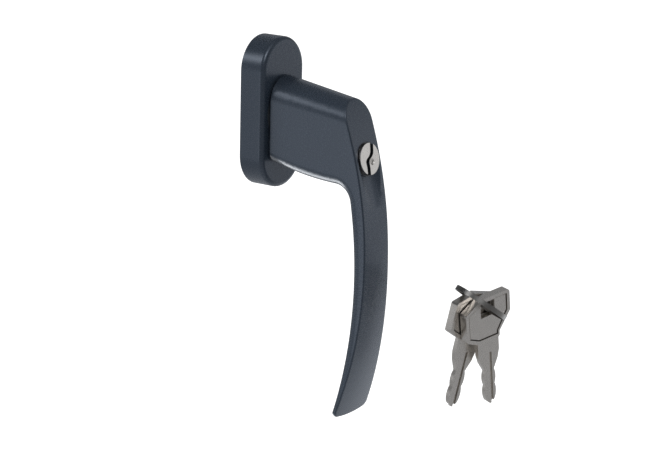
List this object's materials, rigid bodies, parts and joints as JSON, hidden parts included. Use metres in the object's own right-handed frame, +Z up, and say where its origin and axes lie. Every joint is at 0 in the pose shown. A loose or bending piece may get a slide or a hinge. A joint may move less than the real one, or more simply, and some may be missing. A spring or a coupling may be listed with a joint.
{
  "type": "window handle",
  "caption": "Lockable window handle: bowed grip on a drooping neck, racetrack rosette, square spindle socket, key lock in the grip's head and two keys on a ring.",
  "frame": {"origin": "on the spindle's axis, at the rosette's back face, where it lies on the window frame", "axes": "+Z up, +X to the right for someone in the room, +Y into the window; the grip hangs down, which is closed"},
  "size_m": [0.0706, 0.1189, 0.1662],
  "materials": {
    "grey_coat": "satin anthracite grey coat on zinc die casting",
    "raw_zinc": "as cast",
    "zinc_steel": "zinc plated",
    "spring_steel": "polished spring steel",
    "grey_plastic": "moulded, matt",
    "dark_zinc": "black coat",
    "nickel_brass": "nickel plated, finely brushed",
    "brass": "plain"
  },
  "bodies": {
    "base": {"rosette_cover": "grey_coat", "base_plate": "raw_zinc", "bearing_bush": "grey_plastic", "thrust_washer": "grey_plastic", "detent_spring_upper": "spring_steel", "detent_spring_lower": "spring_steel", "key_ring": "spring_steel"},
    "grip": {"handle": "grey_coat", "lock_housing": "dark_zinc", "housing_screw": "zinc_steel", "retaining_ring": "spring_steel", "detent_ring": "zinc_steel", "spindle_spring": "spring_steel", "bolt_spring": "spring_steel"},
    "plug": {"lock_plug": "nickel_brass", "lock_wafers": "brass", "lock_cam": "zinc_steel", "cam_screw": "zinc_steel"},
    "bolt": {"locking_bolt": "zinc_steel"},
    "upper_ball": {"detent_ball_upper": "spring_steel"},
    "lower_ball": {"detent_ball_lower": "spring_steel"},
    "right_key": {"key_right": "nickel_brass"},
    "left_key": {"key_left": "nickel_brass"}
  },
  "joints": [
    {"name": "handle_turn", "type": "hinge", "parent": "base", "child": "grip", "pos_m": [0, 0, 0], "axis": [0, 1, 0], "range_deg": [0, 180]},
    {"name": "plug_turn", "type": "hinge", "parent": "grip", "child": "plug", "pos_m": [0, -0.0593, -0.0143], "axis": [0, 0.9816, -0.1908], "range_deg": [0, 180]},
    {"name": "bolt_slide", "type": "slide", "parent": "grip", "child": "bolt", "axis": [0, 1, 0], "range_m": [0, 0.0055], "deforming": ["bolt_spring"]},
    {"name": "upper_ball_slide", "type": "slide", "parent": "base", "child": "upper_ball", "axis": [0, 0, -1], "range_m": [0, 0.0005], "stiffness_N_per_m": 400, "deforming": ["detent_spring_upper"]},
    {"name": "lower_ball_slide", "type": "slide", "parent": "base", "child": "lower_ball", "axis": [0, 0, 1], "range_m": [0, 0.0005], "stiffness_N_per_m": 400, "deforming": ["detent_spring_lower"]},
    {"name": "right_key_swing", "type": "hinge", "parent": "base", "child": "right_key", "pos_m": [0.04207, -0.09626, -0.08344], "axis": [-0.3057, -0.9475, -0.0933], "range_deg": [-3, 4]},
    {"name": "left_key_swing", "type": "hinge", "parent": "base", "child": "left_key", "pos_m": [0.0417, -0.09149, -0.08278], "axis": [-0.3057, -0.9475, -0.0933], "range_deg": [-3, 4]}
  ],
  "couplings": [
    {"joint": "plug_turn", "follows": "bolt_slide", "rad_per_m": 571.19}
  ]
}
